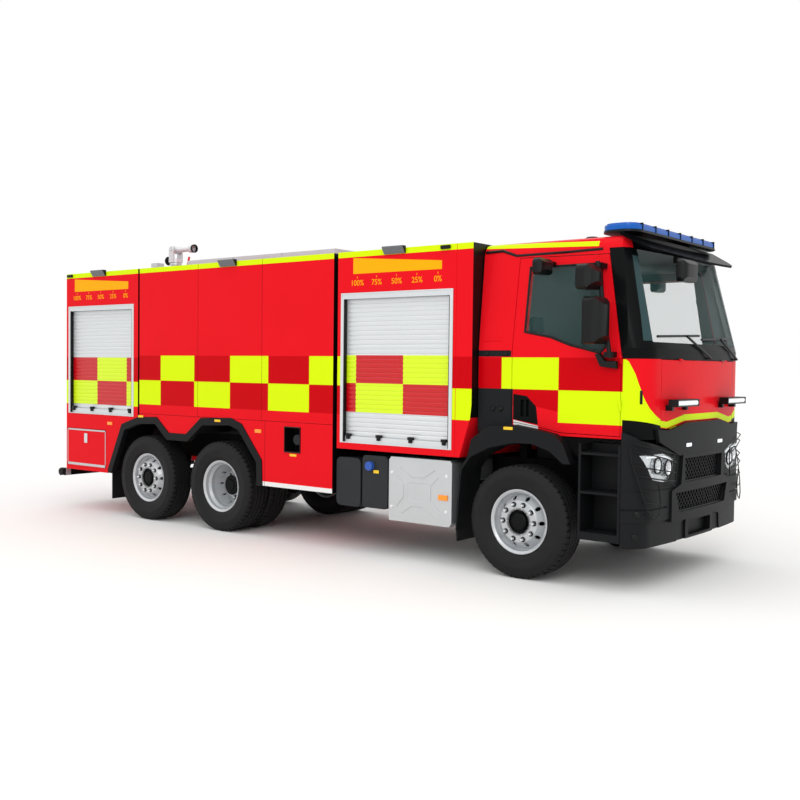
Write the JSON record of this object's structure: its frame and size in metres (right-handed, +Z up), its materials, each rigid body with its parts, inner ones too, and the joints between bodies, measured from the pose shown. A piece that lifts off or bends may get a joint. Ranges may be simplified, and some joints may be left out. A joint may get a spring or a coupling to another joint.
{
  "type": "fire tanker truck",
  "caption": "Forward-control fire tanker on a three-axle truck chassis, with body modules, roller shutters, opening doors and flaps, steered axles and a roof monitor.",
  "frame": {"origin": "on the ground, midway along the length and width of the truck", "axes": "+X forward, +Y to the driver's left, +Z up"},
  "size_m": [8.76, 2.98, 3.6179],
  "materials": {
    "chassis_paint": "satin dark chassis paint",
    "cast_metal": "cast metal",
    "wheel_steel": "silver wheel paint",
    "tyre_rubber": "matt",
    "dark_plastic": "grained dark grey",
    "grille_plastic": "silver-grey",
    "lamp_lens": "clear lens over bright bowls",
    "bare_aluminium": "bare",
    "tank_plastic": "dark grey",
    "red_paint": "gloss signal red",
    "shutter_aluminium": "anodised",
    "lamp_housing": "grey",
    "screen_glass": "tinted",
    "interior_plastic": "grained",
    "seat_fabric": "woven",
    "visor_plastic": "smoked",
    "black_plastic": "black",
    "blue_lens": "blue lens",
    "monitor_metal": "satin"
  },
  "bodies": {
    "chassis": {"frame": "chassis_paint", "powertrain": "cast_metal", "front_axle": "chassis_paint", "drive_axle": "chassis_paint", "tag_axle": "chassis_paint", "bumper": "dark_plastic", "grille": "grille_plastic", "headlamps": "lamp_lens", "cab_steps": "dark_plastic", "mudguards": "dark_plastic", "exhaust_box": "bare_aluminium", "side_tanks": "tank_plastic", "rear_module": "red_paint", "tank_module": "red_paint", "front_module": "red_paint", "shutter_curtains": "shutter_aluminium", "shutter_frames": "bare_aluminium", "arch_trims": "dark_plastic", "rear_bumper": "chassis_paint", "body_lamps": "lamp_housing", "roof_deck": "bare_aluminium", "cab_shell": "red_paint", "windscreen": "screen_glass", "dashboard": "interior_plastic", "seats": "seat_fabric", "sun_visor": "visor_plastic", "front_mirror": "black_plastic", "lightbar_base": "black_plastic", "lightbar_lens": "blue_lens", "wipers": "black_plastic"},
    "flap": {"front_flap": "red_paint", "work_lamps": "black_plastic"},
    "left_door": {"door_left": "red_paint", "door_glass_left": "screen_glass", "mirrors_left": "black_plastic"},
    "right_door": {"door_right": "red_paint", "door_glass_right": "screen_glass", "mirrors_right": "black_plastic"},
    "left_locker": {"locker_flap_left": "red_paint"},
    "right_locker": {"locker_flap_right": "red_paint"},
    "turret": {"monitor_turret": "monitor_metal"},
    "barrel": {"monitor_barrel": "monitor_metal"},
    "knuckle_body_fl": {"knuckle_fl": "cast_metal"},
    "wheel_fl": {"rim_fl": "wheel_steel", "tyre_fl": "tyre_rubber"},
    "knuckle_body_fr": {"knuckle_fr": "cast_metal"},
    "wheel_fr": {"rim_fr": "wheel_steel", "tyre_fr": "tyre_rubber"},
    "knuckle_body_tl": {"knuckle_tl": "cast_metal"},
    "wheel_tl": {"rim_tl": "wheel_steel", "tyre_tl": "tyre_rubber"},
    "knuckle_body_tr": {"knuckle_tr": "cast_metal"},
    "wheel_tr": {"rim_tr": "wheel_steel", "tyre_tr": "tyre_rubber"},
    "wheel_dl": {"rim_dl": "wheel_steel", "tyres_dl": "tyre_rubber"},
    "wheel_dr": {"rim_dr": "wheel_steel", "tyres_dr": "tyre_rubber"}
  },
  "joints": [
    {"name": "front_left_steer", "type": "hinge", "parent": "chassis", "child": "knuckle_body_fl", "pos_m": [3, 0.92, 0.53], "axis": [0, 0, 1], "range_deg": [-38, 38]},
    {"name": "front_left_wheel_spin", "type": "hinge", "parent": "knuckle_body_fl", "child": "wheel_fl", "pos_m": [3, 1.085, 0.53], "axis": [0, 1, 0], "continuous": true},
    {"name": "front_right_steer", "type": "hinge", "parent": "chassis", "child": "knuckle_body_fr", "pos_m": [3, -0.92, 0.53], "axis": [0, 0, 1], "range_deg": [-38, 38]},
    {"name": "front_right_wheel_spin", "type": "hinge", "parent": "knuckle_body_fr", "child": "wheel_fr", "pos_m": [3, -1.085, 0.53], "axis": [0, 1, 0], "continuous": true},
    {"name": "tag_left_steer", "type": "hinge", "parent": "chassis", "child": "knuckle_body_tl", "pos_m": [-2.45, 0.92, 0.53], "axis": [0, 0, 1], "range_deg": [-16, 16]},
    {"name": "tag_left_wheel_spin", "type": "hinge", "parent": "knuckle_body_tl", "child": "wheel_tl", "pos_m": [-2.45, 1.085, 0.53], "axis": [0, 1, 0], "continuous": true},
    {"name": "tag_right_steer", "type": "hinge", "parent": "chassis", "child": "knuckle_body_tr", "pos_m": [-2.45, -0.92, 0.53], "axis": [0, 0, 1], "range_deg": [-16, 16]},
    {"name": "tag_right_wheel_spin", "type": "hinge", "parent": "knuckle_body_tr", "child": "wheel_tr", "pos_m": [-2.45, -1.085, 0.53], "axis": [0, 1, 0], "continuous": true},
    {"name": "drive_left_wheel_spin", "type": "hinge", "parent": "chassis", "child": "wheel_dl", "pos_m": [-1.1, 0.915, 0.53], "axis": [0, 1, 0], "continuous": true},
    {"name": "drive_right_wheel_spin", "type": "hinge", "parent": "chassis", "child": "wheel_dr", "pos_m": [-1.1, -0.915, 0.53], "axis": [0, 1, 0], "continuous": true},
    {"name": "left_door_hinge", "type": "hinge", "parent": "chassis", "child": "left_door", "pos_m": [3.982, 1.164, 1.8], "axis": [0, 0, -1], "range_deg": [0, 75]},
    {"name": "right_door_hinge", "type": "hinge", "parent": "chassis", "child": "right_door", "pos_m": [3.982, -1.164, 1.8], "axis": [0, 0, 1], "range_deg": [0, 75]},
    {"name": "front_flap_hinge", "type": "hinge", "parent": "chassis", "child": "flap", "pos_m": [4.271, 0, 2.053], "axis": [0, -1, 0], "range_deg": [0, 80]},
    {"name": "left_locker_hinge", "type": "hinge", "parent": "chassis", "child": "left_locker", "pos_m": [-3.7, 1.25, 0.59], "axis": [-1, 0, 0], "range_deg": [0, 90]},
    {"name": "right_locker_hinge", "type": "hinge", "parent": "chassis", "child": "right_locker", "pos_m": [-3.7, -1.25, 0.59], "axis": [1, 0, 0], "range_deg": [0, 90]},
    {"name": "monitor_pan", "type": "hinge", "parent": "chassis", "child": "turret", "pos_m": [-3.4, 0, 3.4], "axis": [0, 0, 1], "range_deg": [-170, 170]},
    {"name": "monitor_tilt", "type": "hinge", "parent": "turret", "child": "barrel", "pos_m": [-3.4, 0, 3.56], "axis": [0, -1, 0], "range_deg": [-8, 75]}
  ],
  "couplings": [
    {"joint": "front_right_steer", "follows": "front_left_steer", "ratio": 1},
    {"joint": "tag_left_steer", "follows": "front_left_steer", "ratio": -0.4},
    {"joint": "tag_right_steer", "follows": "front_left_steer", "ratio": -0.4}
  ]
}
